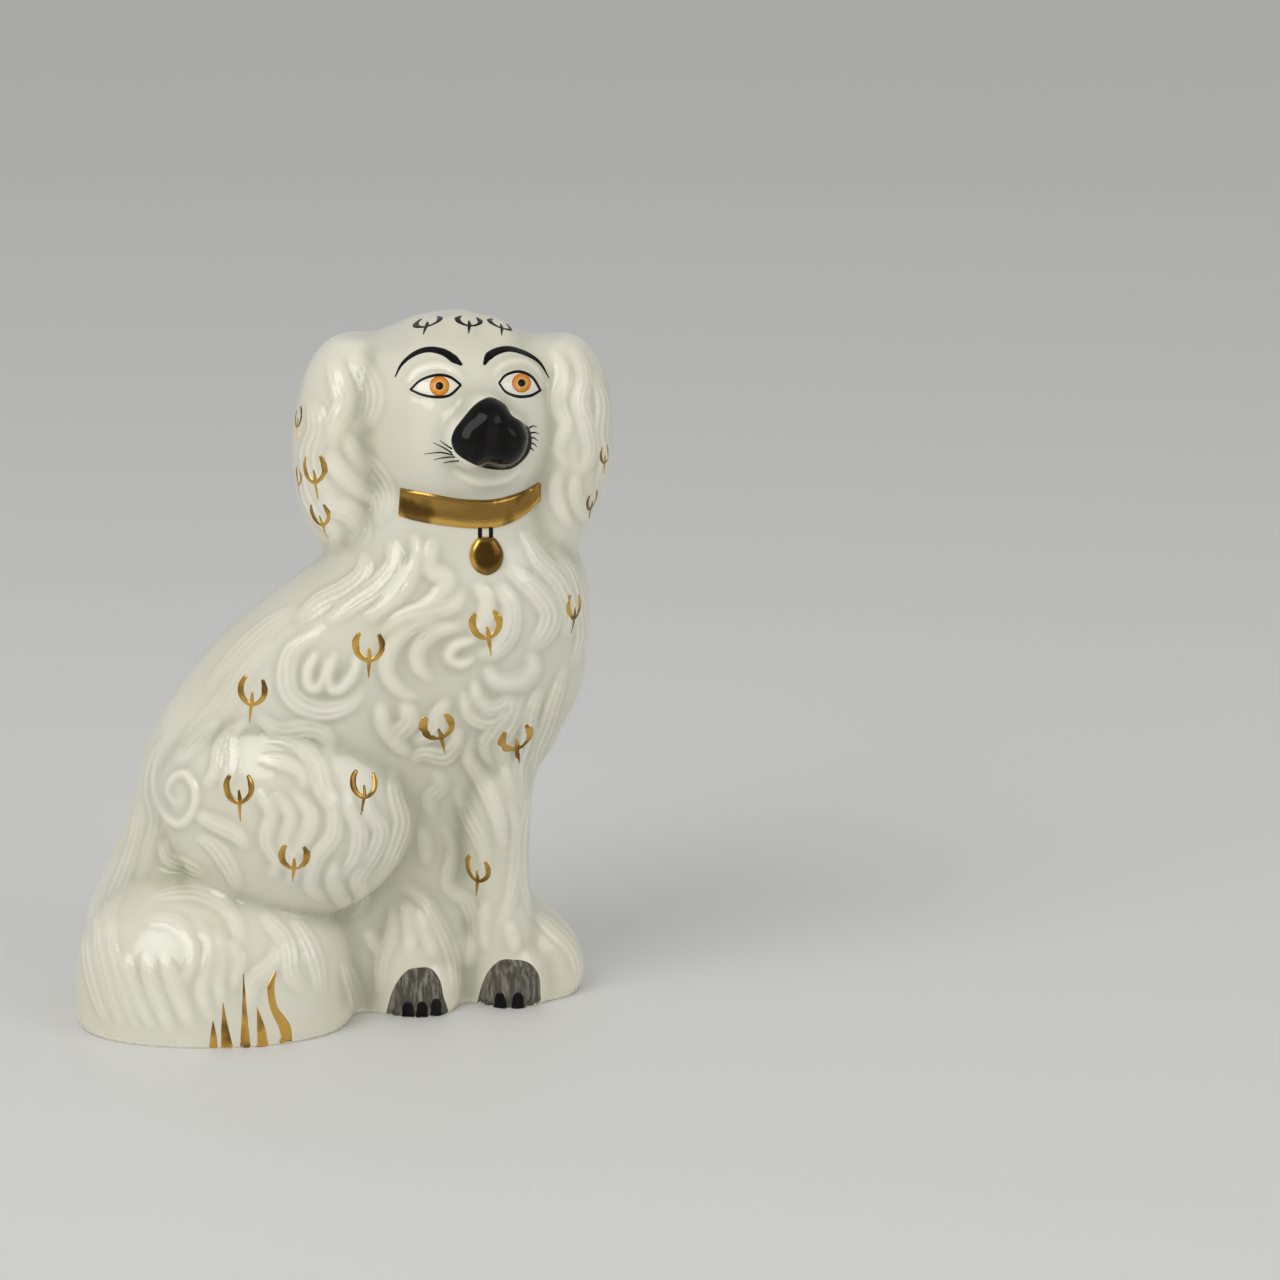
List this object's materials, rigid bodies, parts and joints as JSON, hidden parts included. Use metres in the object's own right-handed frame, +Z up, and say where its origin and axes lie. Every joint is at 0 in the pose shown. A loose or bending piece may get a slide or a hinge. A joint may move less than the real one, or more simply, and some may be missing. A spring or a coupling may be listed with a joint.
{
  "type": "dog figure ornament",
  "caption": "Hollow glazed earthenware figure of a seated spaniel with its head turned, gilt collar and padlock, painted face and paws, standing on a flat closed base.",
  "frame": {"origin": "centre of the bounding box in plan, on the standing plane", "axes": "+X toward the chest and forefeet, -Y out of the near side that the turned face looks to, +Z up"},
  "size_m": [0.195, 0.1032, 0.2541],
  "materials": {
    "white_glaze": "gloss lead-free cream-white glaze over earthenware",
    "bare_clay": "matt, wiped biscuit earthenware",
    "black_enamel": "gloss fired black enamel",
    "amber_enamel": "gloss fired amber enamel",
    "grey_enamel": "brushed grey enamel, streaky",
    "gilt": "burnished liquid gold"
  },
  "bodies": {
    "root": {"body": "white_glaze", "head": "white_glaze", "right_ear": "white_glaze", "left_ear": "white_glaze", "right_haunch": "white_glaze", "right_hind_leg": "white_glaze", "right_foreleg": "white_glaze", "left_foreleg": "white_glaze", "tail": "white_glaze", "base_plate": "bare_clay", "muzzle": "black_enamel", "pupils": "black_enamel", "eye_lines": "black_enamel", "brows": "black_enamel", "claws": "black_enamel", "padlock_loops": "black_enamel", "irises": "amber_enamel", "paw_patches": "grey_enamel", "collar": "gilt", "padlock": "gilt", "tail_strokes": "gilt"}
  },
  "joints": []
}
